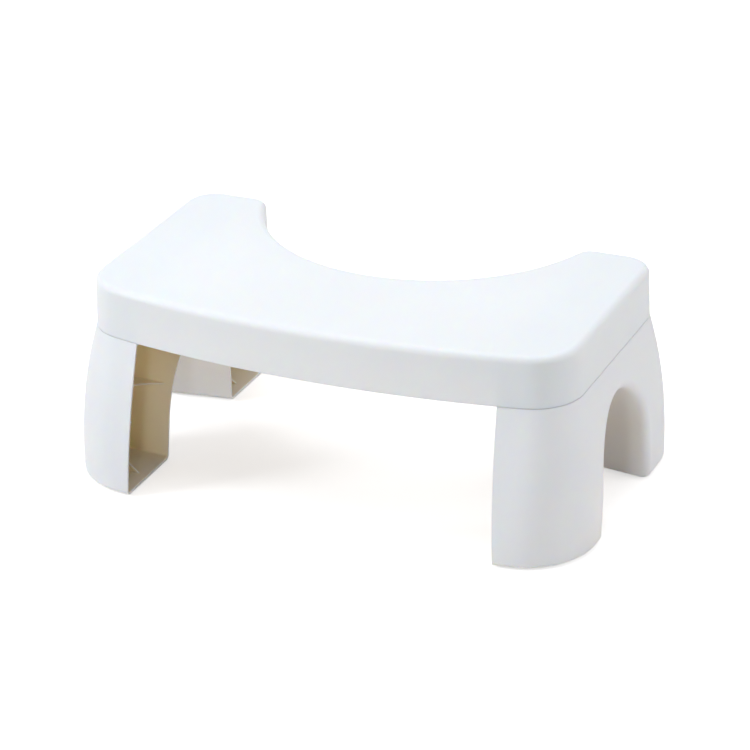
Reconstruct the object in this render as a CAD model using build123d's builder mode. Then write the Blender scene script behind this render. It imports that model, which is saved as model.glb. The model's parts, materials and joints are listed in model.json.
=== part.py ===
from build123d import *
import math
import os

os.makedirs("parts", exist_ok=True)

# A toilet footstool: a moulded step plate with a deep apron and a round bay at its back that
# goes about the pan, carried on two hollow arched leg frames that snap into its underside.
# Millimetres, +X to the right, +Y to the back, +Z up. The origin is on the floor, under the middle.

# Heights
total_height = 175.0
apron_height = 43.3
parting_gap = 0.3
pad_thickness = 2.0
pad_recess = 0.8

# Plan of the step plate, at its top edge
plate_half_width = 211.9
plate_front = 124.6
plate_back = 111.9
side_taper_angle = 0.63
leg_width = 53.3
crease_setback = 13.5
crease_turn_angle = 2.0
front_corner_radius = 41.0
back_corner_radius = 25.1
horn_width = 66.0
horn_tip_radius = 14.4
bay_setback = 1.8
top_edge_radius = 6.0
apron_draft = 1.2

# Walls and ribs of the step plate
plate_thickness = 2.8
apron_wall = 2.2
plate_inner_radius = 3.5
rib_thickness = 1.6
rib_depth = 24.0
long_rib_pitch = 29.0
long_rib_first = 95.0
long_rib_count = 7
cross_rib_pitch = 39.0
cross_rib_count = 3
inner_rib_rise = 1.0

# Plan and flare of the leg frames
inner_lean = 4.2
front_flare = 22.3
side_flare = 14.1
back_flare = 20.6
facet_opening_angle = 6.0
front_corner_growth = 18.8
back_corner_growth = 22.4
flare_power = 1.7
side_flare_power = 2.25
belly_share = 0.16
foot_edge_radius = 4.4

# Walls of the leg frames
leg_wall = 1.6
sole_thickness = 2.4
deck_thickness = 2.2
plateau_height = 3.8

# Tunnel under each leg frame, wide and low inside, narrower and taller outside
inner_jamb_setback = 52.1
inner_spring_height = 22.0
inner_beam_depth = 30.4
inner_jamb_angle = 5.7
outer_jamb_setback = 63.9
outer_spring_height = 52.0
outer_beam_depth = 28.8
outer_jamb_angle = 4.5
outer_tilt_angle = 2.5
tunnel_edge_radius = 7.5
hollow_corner_radius = 2.0

# Stiffeners inside the feet
stiffener_thickness = 1.5
front_gusset_setback = 13.6
rear_gusset_setback = 24.5
gusset_gap = 12.6
gusset_angle = 40.0
web_height = 65.6
web_setback = 24.2
web_bay_depth = 43.0
web_bay_half_width = 37.8

# Snap tongues on the leg frames, and their sockets in the plate
tongue_side_setback = 25.9
tongue_end_setback = 35.5
tongue_width = 12.0
tongue_length = 34.0
tongue_height = 24.0
tongue_wall = 1.8
tongue_corner_radius = 2.4
barb_reach = 1.3
barb_length = 13.0
barb_height = 7.0
barb_drop = 4.0
socket_wall = 1.8
window_height = 9.0

# Non-slip pads
pad_margin = 6.0
pad_edge_bevel = 0.5

# Clearances and the overrun of every cut
clearance = 0.3
overrun = 5.0

# Places that follow from the sizes above
crease_x = plate_half_width - leg_width
crease_y = plate_front - crease_setback
front_radius = (crease_x**2 + crease_setback**2) / (2 * crease_setback)
facet_angle = math.degrees(math.asin(crease_x / front_radius)) + crease_turn_angle
side_slope = math.tan(math.radians(side_taper_angle))
horn_x = plate_half_width - horn_width
bay_depth = plate_back + bay_setback
bay_radius = (horn_x**2 + bay_depth**2) / (2 * bay_depth)
bay_centre_y = bay_radius - bay_setback
apron_bottom = total_height - apron_height
plate_underside = total_height - plate_thickness
ledge_height = apron_bottom - parting_gap
bearing_height = ledge_height + plateau_height
foot_bottom = pad_thickness - pad_recess
sole_top = foot_bottom + sole_thickness
leg_height = ledge_height - foot_bottom
draft_angle = math.degrees(math.atan(apron_draft / apron_height))
outer_reach = plate_half_width + side_flare + 2 * overrun
plateau_inset = apron_wall + 2 * clearance
inner_rib_x = crease_x - clearance - rib_thickness / 2
tunnel_y = (plate_back - crease_y) / 2
inner_half_width = (plate_back + crease_y) / 2 - inner_jamb_setback
outer_half_width = (plate_back + crease_y) / 2 - outer_jamb_setback
inner_crown_height = ledge_height - inner_beam_depth
outer_crown_height = ledge_height - outer_beam_depth
gusset_foot_x = crease_x + gusset_gap
gusset_slope = math.tan(math.radians(gusset_angle))
gusset_rows = (front_gusset_setback - crease_y, plate_back - rear_gusset_setback)
web_rows = (web_setback - crease_y, plate_back - web_setback)
tongue_x = plate_half_width - tongue_side_setback
tongue_rows = (tongue_end_setback - crease_y, plate_back - tongue_end_setback)
barb_face_x = tongue_x - tongue_width / 2
barb_foot = bearing_height + tongue_height - barb_drop - barb_height
level_shares = (0.0, 0.2, 0.45, 0.72, 1.0)


def corner_of(front_y, slope, side_x):
    """The point where a front line meets a side line that leans in towards the back.

    The front line passes through front_y at the crease and rises by slope for each unit of x.
    """
    start = front_y - slope * crease_x
    x = (side_x - side_slope * start) / (1 + side_slope * slope)
    return (x, start + slope * x)


def plate_plan(height, grow):
    """The plan of the step plate at a height, moved outwards by grow."""
    slope = math.tan(math.radians(facet_angle))
    front_corner = corner_of(-crease_y, slope, plate_half_width)
    back_corner = (plate_half_width - side_slope * plate_back, plate_back)
    horn = (horn_x, plate_back)
    swell = math.radians(facet_angle - crease_turn_angle) / 2
    half_way = (front_radius * math.sin(swell), -plate_front + front_radius * (1 - math.cos(swell)))
    bay_swell = math.atan2(horn_x, bay_centre_y - plate_back) / 2
    bay_point = (bay_radius * math.sin(bay_swell), bay_centre_y - bay_radius * math.cos(bay_swell))
    with BuildSketch(Plane.XY.offset(height)) as plan:
        with BuildLine():
            ThreePointArc((0, -plate_front), half_way, (crease_x, -crease_y))
            Polyline((crease_x, -crease_y), front_corner, back_corner, horn)
            ThreePointArc(horn, bay_point, (0, -bay_setback))
            mirror(about=Plane.YZ)
        make_face()
        for corner, radius in (
            (front_corner, front_corner_radius),
            (back_corner, back_corner_radius),
            (horn, horn_tip_radius),
        ):
            for side in (1, -1):
                point = (side * corner[0], corner[1], height)
                fillet(plan.vertices().sort_by_distance(point)[0], radius)
        if grow:
            offset(amount=grow, kind=Kind.INTERSECTION)
    return plan.sketch


def leg_plan(share, inset, mouth):
    """The plan of the right leg frame at a share of its height, drawn in by inset.

    The share is 0 at the sole and 1 at the ledge under the apron. The front and back walls stand
    out from the apron by a flare that falls from 1 at the sole to 0 at the ledge, as one less a
    power of the share. The side wall bulges in the same way about its belly, a little above the
    sole. The open inner side runs past the leg's inner edge by mouth, less the inset.
    """
    flare = 1 - share**flare_power
    bulge = 1 - abs((share - belly_share) / (1 - belly_share)) ** side_flare_power
    angle = math.radians(facet_angle - facet_opening_angle * flare)
    front_y = -(crease_y + apron_draft / math.cos(angle) + front_flare * flare)
    slope = math.tan(angle)
    side_x = plate_half_width + apron_draft + side_flare * bulge
    back_y = plate_back + apron_draft + back_flare * flare
    inner_x = crease_x + inner_lean * (1 - share) - mouth
    front_corner = corner_of(front_y, slope, side_x)
    back_corner = (side_x - side_slope * back_y, back_y)
    height = foot_bottom + share * leg_height
    with BuildSketch(Plane.XY.offset(height)) as plan:
        with BuildLine():
            Polyline(
                (inner_x, front_y + slope * (inner_x - crease_x)),
                front_corner,
                back_corner,
                (inner_x, back_y),
                close=True,
            )
        make_face()
        front_radius_here = front_corner_radius + apron_draft + front_corner_growth * flare
        back_radius_here = back_corner_radius + apron_draft + back_corner_growth * flare
        fillet(plan.vertices().sort_by_distance((*front_corner, height))[0], front_radius_here)
        fillet(plan.vertices().sort_by_distance((*back_corner, height))[0], back_radius_here)
        if inset:
            offset(amount=-inset, kind=Kind.INTERSECTION)
    return plan.sketch


def tunnel_profile(x, half_width, spring_height, crown_height, jamb_angle):
    """The tunnel's section at x: half an ellipse that runs down into leaning jambs."""
    rise = crown_height - spring_height
    lean = math.tan(math.radians(jamb_angle))
    turn = math.atan(lean * rise / half_width)
    spring = (half_width * math.cos(turn), spring_height + rise * math.sin(turn))
    foot = (spring[0] + (spring[1] + overrun) * lean, -overrun)
    with BuildSketch(Plane.YZ.offset(x)) as profile:
        with BuildLine():
            EllipticalCenterArc(
                (tunnel_y, spring_height),
                half_width,
                rise,
                start_angle=math.degrees(turn),
                arc_size=180 - 2 * math.degrees(turn),
            )
            Polyline(
                (tunnel_y - spring[0], spring[1]),
                (tunnel_y - foot[0], foot[1]),
                (tunnel_y + foot[0], foot[1]),
                (tunnel_y + spring[0], spring[1]),
            )
        make_face()
    return profile.sketch


def tunnel_block(grow):
    """The tunnel as a solid from inside the stool to beyond the leg's outer side, grown by grow.

    The outer section leans back by the tilt angle, about the middle of its spring line.
    """
    inner = tunnel_profile(
        crease_x - 2 * overrun,
        inner_half_width + grow,
        inner_spring_height,
        inner_crown_height + grow,
        inner_jamb_angle,
    )
    outer = tunnel_profile(
        outer_reach,
        outer_half_width + grow,
        outer_spring_height,
        outer_crown_height + grow,
        outer_jamb_angle,
    )
    hub = Axis((0, tunnel_y, outer_spring_height), (1, 0, 0))
    outer = outer.rotate(hub, -outer_tilt_angle)
    with BuildPart() as block:
        loft(sections=[inner, outer])
    return block.part


def leg_block():
    """The right leg frame as a full block: flared walls, the tunnel and its rounded edge."""
    with BuildPart() as block:
        loft(sections=[leg_plan(share, 0, 0) for share in level_shares])
        add(tunnel_block(0), mode=Mode.SUBTRACT)
        fillet(tunnel_rim(block), tunnel_edge_radius)
        sole = block.faces().sort_by(Axis.Z)[0:2]
        rim = sole.edges().filter_by(lambda edge: edge.center().X > crease_x + overrun)
        fillet(rim, foot_edge_radius)
    return block.part


def tunnel_rim(builder):
    """The edges where the tunnel comes out through the outer side."""
    return builder.edges().filter_by(
        lambda edge: edge.center().X > plate_half_width
        and abs(edge.center().Y - tunnel_y) < inner_half_width + overrun
        and sole_top + overrun < edge.center().Z < outer_crown_height + overrun
    )


def leg_hollow():
    """The space inside the right leg frame, less the gussets and webs that stand in it."""
    with BuildPart() as hollow:
        loft(sections=[leg_plan(share, leg_wall, leg_wall + overrun) for share in level_shares])
        split(bisect_by=Plane.XY.offset(sole_top))
        split(bisect_by=Plane.XY.offset(ledge_height - deck_thickness), keep=Keep.BOTTOM)
        add(tunnel_block(leg_wall), mode=Mode.SUBTRACT)
        fillet(tunnel_rim(hollow), tunnel_edge_radius - leg_wall)
        foot_corners = hollow.edges().filter_by(
            lambda edge: abs(edge.center().Z - sole_top) < clearance
            and abs(edge.center().Y - tunnel_y) < inner_half_width + overrun + leg_wall
        )
        fillet(foot_corners, hollow_corner_radius)
        under_plateau = leg_plan(1, plateau_inset + leg_wall, plateau_inset + leg_wall + overrun)
        extrude(under_plateau, amount=plateau_height - deck_thickness)
        extrude(under_plateau, amount=-deck_thickness - overrun)
        for row in gusset_rows:
            with BuildSketch(Plane.XZ.offset(-row)):
                with BuildLine():
                    Polyline(
                        (gusset_foot_x - overrun / gusset_slope, sole_top - overrun),
                        (outer_reach, sole_top - overrun),
                        (outer_reach, sole_top + gusset_slope * (outer_reach - gusset_foot_x)),
                        close=True,
                    )
                make_face()
            extrude(amount=stiffener_thickness / 2, both=True, mode=Mode.SUBTRACT)
        with BuildSketch(Plane.XY.offset(web_height)):
            with Locations((outer_reach / 2, 0)):
                Rectangle(outer_reach, 2 * outer_reach)
            with Locations(*[(crease_x, row) for row in web_rows]):
                Ellipse(web_bay_depth, web_bay_half_width, mode=Mode.SUBTRACT)
            with Locations((crease_x - outer_reach / 2, 0)):
                Rectangle(outer_reach, 2 * outer_reach, mode=Mode.SUBTRACT)
        extrude(amount=stiffener_thickness / 2, both=True, mode=Mode.SUBTRACT)
    return hollow.part


def plate_hollow():
    """The space under the step plate, less its ribs and the walls of its sockets."""
    depth = plate_underside - apron_bottom + overrun
    over_leg_width = outer_reach - crease_x
    rows = [-long_rib_first + row * long_rib_pitch for row in range(long_rib_count)]
    columns = [column * cross_rib_pitch for column in range(-cross_rib_count, cross_rib_count + 1)]
    with BuildPart() as hollow:
        extrude(plate_plan(plate_underside, -apron_wall), amount=-depth, taper=-draft_angle)
        fillet(hollow.faces().sort_by(Axis.Z)[-1].edges(), plate_inner_radius)
        with BuildSketch(Plane.XY.offset(plate_underside - rib_depth)):
            with Locations(*[(0, row) for row in rows]):
                Rectangle(2 * crease_x, rib_thickness)
            with Locations(*[(column, 0) for column in columns]):
                Rectangle(rib_thickness, 2 * outer_reach)
        extrude(amount=rib_depth + overrun, mode=Mode.SUBTRACT)
        with BuildSketch(Plane.XY.offset(bearing_height)):
            for side in (1, -1):
                with Locations(*[(side * (crease_x + over_leg_width / 2), row) for row in rows]):
                    Rectangle(over_leg_width, rib_thickness)
                with Locations(*[(side * tongue_x, row) for row in tongue_rows]):
                    RectangleRounded(
                        tongue_width + 2 * clearance + 2 * socket_wall,
                        tongue_length + 2 * clearance + 2 * socket_wall,
                        tongue_corner_radius + clearance + socket_wall,
                    )
        extrude(amount=plate_underside - bearing_height + overrun, mode=Mode.SUBTRACT)
        with BuildSketch(Plane.XY.offset(apron_bottom + inner_rib_rise)):
            with Locations((inner_rib_x, 0), (-inner_rib_x, 0)):
                Rectangle(rib_thickness, 2 * outer_reach)
        extrude(amount=plate_underside - apron_bottom - inner_rib_rise + overrun, mode=Mode.SUBTRACT)
    return hollow.part


def foot_recess(margin):
    """A flat block as thick as the pads' recess, under both feet of the right leg frame."""
    with BuildPart() as recess:
        extrude(leg_plan(0, margin, 0), amount=pad_recess)
        extrude(leg_plan(0, margin, 0), amount=-foot_bottom)
        add(tunnel_block(margin), mode=Mode.SUBTRACT)
    return recess.part


right_leg_block = leg_block()
right_leg_hollow = leg_hollow()
hollow_under_plate = plate_hollow()
recess_block = foot_recess(pad_margin - clearance)
pad_block = foot_recess(pad_margin)

# The step plate: crowned edge, drafted apron, ribs, and the sockets with their windows
with BuildPart() as step_top:
    extrude(plate_plan(total_height, 0), amount=-apron_height, taper=-draft_angle)
    fillet(step_top.faces().sort_by(Axis.Z)[-1].edges(), top_edge_radius)
    add(hollow_under_plate, mode=Mode.SUBTRACT)
    with BuildSketch(Plane.XY.offset(bearing_height)):
        for side in (1, -1):
            with Locations(*[(side * tongue_x, row) for row in tongue_rows]):
                RectangleRounded(
                    tongue_width + 2 * clearance,
                    tongue_length + 2 * clearance,
                    tongue_corner_radius + clearance,
                )
    extrude(amount=plate_underside - bearing_height, mode=Mode.SUBTRACT)
    with BuildSketch(Plane.XY.offset(barb_foot - clearance)):
        for side in (1, -1):
            window_x = side * (tongue_x - (tongue_width + socket_wall) / 2 - clearance)
            with Locations(*[(window_x, row) for row in tongue_rows]):
                Rectangle(2 * socket_wall, barb_length + 2 * clearance)
    extrude(amount=window_height, mode=Mode.SUBTRACT)
step_top.part.label = "step_top"

# The right leg frame: a shell open to the inside, with its plateau and two hooked tongues
with BuildPart() as leg_frame_right:
    add(right_leg_block)
    extrude(leg_plan(1, plateau_inset, plateau_inset), amount=plateau_height)
    add(right_leg_hollow, mode=Mode.SUBTRACT)
    with BuildSketch(Plane.XY.offset(bearing_height)):
        with Locations(*[(tongue_x, row) for row in tongue_rows]):
            RectangleRounded(tongue_width, tongue_length, tongue_corner_radius)
            Rectangle(
                tongue_width - 2 * tongue_wall,
                tongue_length - 2 * tongue_wall,
                mode=Mode.SUBTRACT,
            )
    extrude(amount=tongue_height)
    for row in tongue_rows:
        with BuildSketch(Plane.XZ.offset(-row)):
            with BuildLine():
                Polyline(
                    (barb_face_x + tongue_wall / 2, barb_foot),
                    (barb_face_x - barb_reach, barb_foot),
                    (barb_face_x, barb_foot + barb_height),
                    (barb_face_x + tongue_wall / 2, barb_foot + barb_height),
                    close=True,
                )
            make_face()
        extrude(amount=barb_length / 2, both=True)
    add(recess_block, mode=Mode.SUBTRACT)
leg_frame_right.part.label = "leg_frame_right"

with BuildPart() as leg_frame_left:
    mirror(leg_frame_right.part, about=Plane.YZ)
leg_frame_left.part.label = "leg_frame_left"

# The non-slip pads: one under each foot, bevelled round the sole
with BuildPart() as pad_front_right:
    add(pad_block)
    split(bisect_by=Plane.XZ)
    chamfer(pad_front_right.faces().sort_by(Axis.Z)[0].edges(), pad_edge_bevel)
pad_front_right.part.label = "pad_front_right"

with BuildPart() as pad_rear_right:
    add(pad_block)
    split(bisect_by=Plane.XZ, keep=Keep.BOTTOM)
    chamfer(pad_rear_right.faces().sort_by(Axis.Z)[0].edges(), pad_edge_bevel)
pad_rear_right.part.label = "pad_rear_right"

with BuildPart() as pad_front_left:
    mirror(pad_front_right.part, about=Plane.YZ)
pad_front_left.part.label = "pad_front_left"

with BuildPart() as pad_rear_left:
    mirror(pad_rear_right.part, about=Plane.YZ)
pad_rear_left.part.label = "pad_rear_left"

for piece in (
    step_top,
    leg_frame_right,
    leg_frame_left,
    pad_front_right,
    pad_rear_right,
    pad_front_left,
    pad_rear_left,
):
    export_step(piece.part, f"parts/{piece.part.label}.step")
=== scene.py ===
import json
import math

import bpy
import numpy as np
from mathutils import Matrix, Vector


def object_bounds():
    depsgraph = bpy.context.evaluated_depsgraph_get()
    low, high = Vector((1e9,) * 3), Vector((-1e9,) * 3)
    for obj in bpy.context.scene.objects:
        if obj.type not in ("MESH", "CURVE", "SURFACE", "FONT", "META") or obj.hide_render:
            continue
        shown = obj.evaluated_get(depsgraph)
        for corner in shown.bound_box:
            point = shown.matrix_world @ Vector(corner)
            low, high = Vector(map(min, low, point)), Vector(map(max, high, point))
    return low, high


# A white moulded toilet footstool on a pale studio floor. Metres, +X right, +Y back, +Z up.
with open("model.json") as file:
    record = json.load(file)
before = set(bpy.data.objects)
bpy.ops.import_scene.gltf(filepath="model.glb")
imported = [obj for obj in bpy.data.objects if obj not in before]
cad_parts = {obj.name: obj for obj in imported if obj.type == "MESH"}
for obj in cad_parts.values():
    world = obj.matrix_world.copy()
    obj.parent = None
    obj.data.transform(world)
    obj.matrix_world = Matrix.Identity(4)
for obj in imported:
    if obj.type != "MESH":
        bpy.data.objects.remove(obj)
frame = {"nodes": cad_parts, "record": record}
solid_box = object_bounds()
scene = bpy.context.scene
scene.view_settings.view_transform = "Standard"

# Camera, solved from the outlines of the plate and the leg frames
CAMERA_PLACE = Vector((1.0555, -2.2970, 1.2898))
CAMERA_AZIMUTH = math.radians(24.609)
CAMERA_ELEVATION = math.radians(25.552)
CAMERA_ROLL = math.radians(-1.310)
SENSOR_WIDTH = 36.0
IMAGE_WIDTH = 750
FOCAL_PIXELS = 3365.0

# Colours, as linear values
COOL_WHITE = (0.860, 0.885, 0.905)
# Painted shade: the cream that the hollows of the plastic take, standing in for their warm, dim light
CREAM_PAINTED_HOLLOW_SHADE = (0.930, 0.806, 0.620)
# Painted shade: the warm, darker tone that faces in shelter take
WARM_PAINTED_SHADE = (0.700, 0.540, 0.390)
# Painted highlight: the pale tone laid along the edges of the plastic
EDGE_PAINTED_HIGHLIGHT = (0.955, 0.955, 0.950)
PAD_GREY = (0.560, 0.570, 0.580)
SCUFFED_GREY = (0.66, 0.66, 0.65)
PURE_WHITE = (1.0, 1.0, 1.0)

# The range of a noise that is spread over a tone or a roughness
NOISE_RANGE = (0.3, 0.7)
DUST_RANGE = (0.35, 0.70)

# Edges: the width that is rounded, and the dot product of the two normals from a corner to a flat
EDGE_WIDTH = 0.0009
EDGE_DOT = (0.80, 0.995)

# Openness round a point of the plastic, from 0 deep in a hollow to 1 in the open
HOLLOW_REACH = 0.120
# Hollows below this range take the painted cream shade
HOLLOW_OPENNESS = (0.30, 0.72)
# Faces in shelter, in this range, take the painted warm shade up to the share below
SHELTERED_OPENNESS = (0.72, 0.97)
SHADE_SHARE = 0.32

# Detail of the plastic: sizes of the patterns, and the strength and depth of the bumps
CLOUD_SIZE = 0.140
CLOUD_TONE = (0.985, 1.010)
RIPPLE_SIZE = 0.030
RIPPLE_BUMP = {"Strength": 0.10, "Distance": 0.0006}
GRAIN_SIZE = 0.0007
GRAIN_BUMP = {"Strength": 0.30, "Distance": 0.00006}
# Share of the painted edge highlight on the plastic
PLASTIC_EDGE_HIGHLIGHT_SHARE = 0.45
PLATE_ROUGHNESS = 0.46
LEG_ROUGHNESS = 0.50
SMOOTHER_BY = 0.05
ROUGHER_BY = 0.06
PLASTIC_FINISH = {
    "IOR": 1.49,
    "Subsurface Weight": 0.60,
    "Subsurface Radius": (1.0, 0.66, 0.34),
    "Subsurface Scale": 0.005,
    "Specular IOR Level": 0.42,
    "Sheen Weight": 0.04,
    "Sheen Roughness": 0.5,
}

# Detail of the rubber
DUST_SIZE = 0.012
DUST_TONE = (0.93, 1.05)
PIT_SIZE = 0.0009
PIT_BUMP = {"Strength": 0.35, "Distance": 0.0001}
SMEAR_SIZE = 0.008
RUBBER_ROUGHNESS = (0.72, 0.88)
RUBBER_EDGE_SHARE = 0.3
RUBBER_FINISH = {
    "Specular IOR Level": 0.30,
    "Sheen Weight": 0.10,
}

# Floor: it lies just under the pads, and its white glow grows from near to far
FLOOR_HALF_WIDTH = 6.0
FLOOR_DROP = 0.0002
FLOOR_NEAR = 0.70
FLOOR_FAR = 1.80
FLOOR_GLOW = 0.53
FLOOR_CAST = (0.915, 0.865, 0.808)
FLOOR_MOTTLE_SIZE = 0.4
FLOOR_MOTTLE_TONE = (0.90, 0.92)

# Even sky light
SKY_LEVEL = 0.249
SKY_TINT = (0.998, 0.985, 1.0)

# Softboxes: name, place, target, side, watts and tint
STOOL_MIDDLE = (0.0, 0.0, 0.08)
LEFT_OF_MIDDLE = (-0.1, 0.0, 0.08)
SOFTBOXES = (
    ("top_softbox", (-0.2, -0.2, 2.0), STOOL_MIDDLE, 1.6, 21.2, (0.950, 0.970, 0.988)),
    ("back_softbox", (0.0, 1.1, 1.8), STOOL_MIDDLE, 1.4, 4.8, (1.0, 0.986, 0.984)),
    ("left_softbox", (-2.05, -1.45, 1.55), STOOL_MIDDLE, 0.8, 27.4, (0.951, 0.970, 1.0)),
    ("right_softbox", (2.4, 0.9, 0.9), STOOL_MIDDLE, 1.2, 18.0, (1.0, 0.990, 1.0)),
    ("low_softbox", (0.58, -2.33, 0.36), LEFT_OF_MIDDLE, 0.2, 6.5, (0.988, 0.994, 1.0)),
)


class Nodes:
    """A short way to add shader nodes to one material and join them."""

    def __init__(self, name):
        self.material = bpy.data.materials.new(name)
        self.material.use_nodes = True
        self.tree = self.material.node_tree
        self.tree.nodes.clear()

    def add(self, kind, settings=None, **sockets):
        """A new node with its settings, and a value or a link for each named socket."""
        node = self.tree.nodes.new(kind)
        for name, value in (settings or {}).items():
            setattr(node, name, value)
        for name, value in sockets.items():
            self.feed(node.inputs[name.replace("_", " ")], value)
        return node

    def feed(self, socket, value):
        """Links an output to the socket, or sets the socket's own number or colour."""
        if isinstance(value, bpy.types.NodeSocket):
            self.tree.links.new(value, socket)
        elif isinstance(value, tuple) and len(value) == 3 and socket.type == "RGBA":
            socket.default_value = (*value, 1.0)
        else:
            socket.default_value = value

    def noise(self, size, detail=2.0, roughness=0.5):
        """Noise whose cells are about size metres, on the piece's own coordinates."""
        place = self.add("ShaderNodeTexCoord").outputs["Object"]
        return self.add(
            "ShaderNodeTexNoise", Vector=place, Scale=1.0 / size, Detail=detail, Roughness=roughness
        ).outputs["Fac"]

    def spread(self, value, given, wanted):
        """The value carried from one range to another, smoothly and held at both ends."""
        node = self.add("ShaderNodeMapRange", {"interpolation_type": "SMOOTHSTEP"}, Value=value)
        ends = ("From Min", "From Max", "To Min", "To Max")
        for name, number in zip(ends, (*given, *wanted)):
            node.inputs[name].default_value = number
        return node.outputs["Result"]

    def mix(self, share, first, second):
        """A blend of two colours."""
        node = self.add("ShaderNodeMix", {"data_type": "RGBA"})
        self.feed(node.inputs[0], share)
        self.feed(node.inputs[6], first)
        self.feed(node.inputs[7], second)
        return node.outputs[2]

    def scaled(self, colour, value):
        """A colour times a value."""
        node = self.add("ShaderNodeVectorMath", {"operation": "SCALE"})
        self.feed(node.inputs[0], colour)
        self.feed(node.inputs["Scale"], value)
        return node.outputs[0]

    def edge_share(self, width):
        """0 on flat faces and 1 on corners, by how far a rounded normal turns, and that normal."""
        rounded = self.add("ShaderNodeBevel", {"samples": 4}, Radius=width).outputs["Normal"]
        true = self.add("ShaderNodeNewGeometry").outputs["Normal"]
        dot = self.add("ShaderNodeVectorMath", {"operation": "DOT_PRODUCT"})
        self.feed(dot.inputs[0], rounded)
        self.feed(dot.inputs[1], true)
        return self.spread(dot.outputs["Value"], EDGE_DOT, (1.0, 0.0)), rounded

    def bump(self, height, normal, depth):
        """The normal, tilted by a height of the given strength and depth."""
        node = self.add("ShaderNodeBump", Height=height, Normal=normal, **depth)
        return node.outputs["Normal"]

    def finish(self, shader, settings=None):
        """The shader with its even settings, joined to the material's surface."""
        for name, value in (settings or {}).items():
            shader.inputs[name].default_value = value
        out = self.add("ShaderNodeOutputMaterial")
        self.tree.links.new(shader.outputs[0], out.inputs["Surface"])
        return self.material


def moulded_plastic(name, outside, hollow_shade, roughness):
    """Satin moulded plastic that lets a little light through.

    It has a spark-grain bump on a slow ripple, a cloudy tone and a painted highlight on its edges.
    Sheltered faces get a painted warm shade, and hollows a painted cream shade.
    """
    n = Nodes(name)
    edge, rounded = n.edge_share(EDGE_WIDTH)
    open_share = n.add(
        "ShaderNodeAmbientOcclusion", {"samples": 12, "only_local": True}, Distance=HOLLOW_REACH
    ).outputs["AO"]
    # Painted shade: hollows take the cream colour
    hollow = n.spread(open_share, HOLLOW_OPENNESS, (1.0, 0.0))
    # Painted shade: faces in shelter take a warm, darker tone
    sheltered_painted_shade = n.spread(open_share, SHELTERED_OPENNESS, (SHADE_SHARE, 0.0))
    tone = n.spread(n.noise(CLOUD_SIZE, detail=3.0), NOISE_RANGE, CLOUD_TONE)
    colour = n.mix(hollow, n.mix(sheltered_painted_shade, outside, WARM_PAINTED_SHADE), hollow_shade)
    colour = n.scaled(colour, tone)
    # Painted highlight: edges take a pale tone
    pale = n.spread(edge, (0.0, 1.0), (0.0, PLASTIC_EDGE_HIGHLIGHT_SHARE))
    colour = n.mix(pale, colour, EDGE_PAINTED_HIGHLIGHT)
    grain = n.noise(GRAIN_SIZE, detail=3.0, roughness=0.6)
    ripple = n.noise(RIPPLE_SIZE)
    rippled = n.bump(ripple, rounded, RIPPLE_BUMP)
    grained = n.bump(grain, rippled, GRAIN_BUMP)
    satin = (roughness - SMOOTHER_BY, roughness + ROUGHER_BY)
    rough = n.spread(n.noise(RIPPLE_SIZE, detail=4.0), NOISE_RANGE, satin)
    shader = n.add("ShaderNodeBsdfPrincipled", Roughness=rough, Normal=grained)
    n.feed(shader.inputs["Base Color"], colour)
    return n.finish(shader, PLASTIC_FINISH)


def soft_rubber(name, colour):
    """Matt thermoplastic rubber: fine pits, a dusty tone and scuffed edges."""
    n = Nodes(name)
    edge, rounded = n.edge_share(EDGE_WIDTH)
    dust = n.spread(n.noise(DUST_SIZE, detail=4.0), DUST_RANGE, DUST_TONE)
    scuffed = n.spread(edge, (0.0, 1.0), (0.0, RUBBER_EDGE_SHARE))
    tint = n.scaled(n.mix(scuffed, colour, SCUFFED_GREY), dust)
    pitted = n.bump(n.noise(PIT_SIZE, detail=3.0), rounded, PIT_BUMP)
    rough = n.spread(n.noise(SMEAR_SIZE, detail=3.0), NOISE_RANGE, RUBBER_ROUGHNESS)
    shader = n.add("ShaderNodeBsdfPrincipled", Roughness=rough, Normal=pitted)
    n.feed(shader.inputs["Base Color"], tint)
    return n.finish(shader, RUBBER_FINISH)


def dress(materials):
    """Each CAD node takes the material of its slot in the record."""
    for part in frame["record"]["subparts"]:
        mesh = frame["nodes"][part["node"]].data
        mesh.materials.clear()
        mesh.materials.append(materials[part["material_slot"]])


def seen_share(tree):
    """1 for a ray from the camera, a reflection or a clear body, and 0 for a ray that only lights."""
    path = tree.nodes.new("ShaderNodeLightPath")
    seen = path.outputs["Is Camera Ray"]
    for ray in ("Is Glossy Ray", "Is Transmission Ray"):
        both = tree.nodes.new("ShaderNodeMath")
        both.operation = "MAXIMUM"
        tree.links.new(seen, both.inputs[0])
        tree.links.new(path.outputs[ray], both.inputs[1])
        seen = both.outputs[0]
    return seen


def seen_white(n, plain, strength):
    """The plain shader, with white light added only where the camera or a reflection sees it."""
    glow = n.add("ShaderNodeEmission", Color=PURE_WHITE)
    amount = n.add("ShaderNodeMath", {"operation": "MULTIPLY"})
    n.feed(amount.inputs[0], seen_share(n.tree))
    n.feed(amount.inputs[1], strength)
    n.feed(glow.inputs["Strength"], amount.outputs[0])
    total = n.add("ShaderNodeAddShader")
    n.feed(total.inputs[0], plain)
    n.feed(total.inputs[1], glow.outputs["Emission"])
    return total


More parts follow.
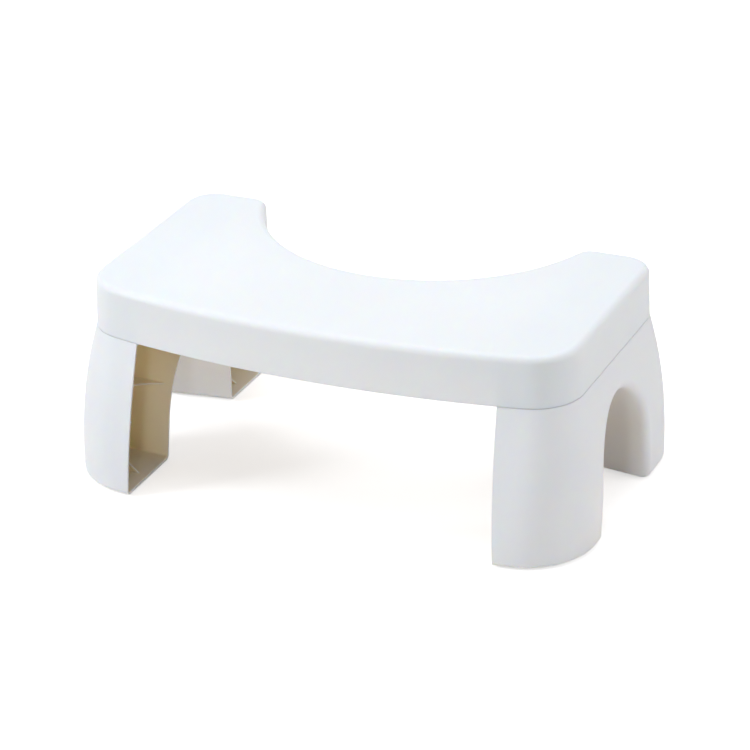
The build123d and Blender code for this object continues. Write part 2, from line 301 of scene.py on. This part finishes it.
def studio_floor(level):
    """A pale floor with a soft shadow, white far off, which throws a warm light on the undersides."""
    corners = np.array([[-1, -1, 0], [1, -1, 0], [1, 1, 0], [-1, 1, 0]], float) * FLOOR_HALF_WIDTH
    mesh = bpy.data.meshes.new("studio_floor")
    mesh.from_pydata(corners.tolist(), [], [(0, 1, 2, 3)])
    floor = bpy.data.objects.new("studio_floor", mesh)
    scene.collection.objects.link(floor)
    floor.location.z = level
    n = Nodes("floor_paint")
    shade = n.spread(n.noise(FLOOR_MOTTLE_SIZE), NOISE_RANGE, FLOOR_MOTTLE_TONE)
    away = n.add("ShaderNodeVectorMath", {"operation": "LENGTH"})
    n.feed(away.inputs[0], n.add("ShaderNodeTexCoord").outputs["Object"])
    glow_here = n.spread(away.outputs["Value"], (FLOOR_NEAR, FLOOR_FAR), (FLOOR_GLOW, 1.0))
    seen = n.add("ShaderNodeLightPath").outputs["Is Camera Ray"]
    paint = n.add("ShaderNodeBsdfDiffuse")
    n.feed(paint.inputs["Color"], n.scaled(n.mix(seen, FLOOR_CAST, PURE_WHITE), shade))
    mesh.materials.append(n.finish(seen_white(n, paint.outputs["BSDF"], glow_here)))


def studio_sky():
    """Even sky light, which the camera and reflections see as white."""
    world = bpy.data.worlds.new("studio_air")
    world.use_nodes = True
    tree = world.node_tree
    tree.nodes.clear()
    even = tree.nodes.new("ShaderNodeBackground")
    even.inputs["Color"].default_value = (*SKY_TINT, 1.0)
    even.inputs["Strength"].default_value = SKY_LEVEL
    white = tree.nodes.new("ShaderNodeBackground")
    white.inputs["Strength"].default_value = 1.0
    white.inputs["Color"].default_value = (*PURE_WHITE, 1.0)
    choose = tree.nodes.new("ShaderNodeMixShader")
    out = tree.nodes.new("ShaderNodeOutputWorld")
    tree.links.new(seen_share(tree), choose.inputs[0])
    tree.links.new(even.outputs[0], choose.inputs[1])
    tree.links.new(white.outputs[0], choose.inputs[2])
    tree.links.new(choose.outputs[0], out.inputs["Surface"])
    scene.world = world


def softbox(name, place, target, side, watts, tint):
    """A square area lamp at a place, turned to a target."""
    data = bpy.data.lights.new(name, "AREA")
    data.shape = "SQUARE"
    data.size = side
    data.energy = watts
    data.color = tint
    lamp = bpy.data.objects.new(name, data)
    scene.collection.objects.link(lamp)
    lamp.location = place
    lamp.rotation_euler = (Vector(target) - Vector(place)).to_track_quat("-Z", "Y").to_euler()


def studio_camera():
    """The camera, from its azimuth about the stool, its elevation and a slight roll."""
    a, e, r = CAMERA_AZIMUTH, CAMERA_ELEVATION, CAMERA_ROLL
    right = Vector((math.cos(a), math.sin(a), 0.0))
    up = Vector((-math.sin(a) * math.sin(e), math.cos(a) * math.sin(e), math.cos(e)))
    back = right.cross(up)
    rolled_right = right * math.cos(r) + up * math.sin(r)
    rolled_up = up * math.cos(r) - right * math.sin(r)
    data = bpy.data.cameras.new("camera")
    data.sensor_fit = "HORIZONTAL"
    data.sensor_width = SENSOR_WIDTH
    data.lens = FOCAL_PIXELS / IMAGE_WIDTH * SENSOR_WIDTH
    camera = bpy.data.objects.new("camera", data)
    scene.collection.objects.link(camera)
    turn = Matrix((rolled_right, rolled_up, back)).transposed().to_4x4()
    camera.matrix_world = Matrix.Translation(CAMERA_PLACE) @ turn
    scene.camera = camera


studio_camera()
dress(
    {
        "plate_plastic": moulded_plastic(
            "plate_plastic_satin", COOL_WHITE, CREAM_PAINTED_HOLLOW_SHADE, PLATE_ROUGHNESS
        ),
        "leg_plastic": moulded_plastic("leg_plastic_satin", COOL_WHITE, CREAM_PAINTED_HOLLOW_SHADE, LEG_ROUGHNESS),
        "pad_rubber": soft_rubber("pad_rubber_matt", PAD_GREY),
    }
)
studio_floor(solid_box[0][2] - FLOOR_DROP)
studio_sky()
for lamp_row in SOFTBOXES:
    softbox(*lamp_row)
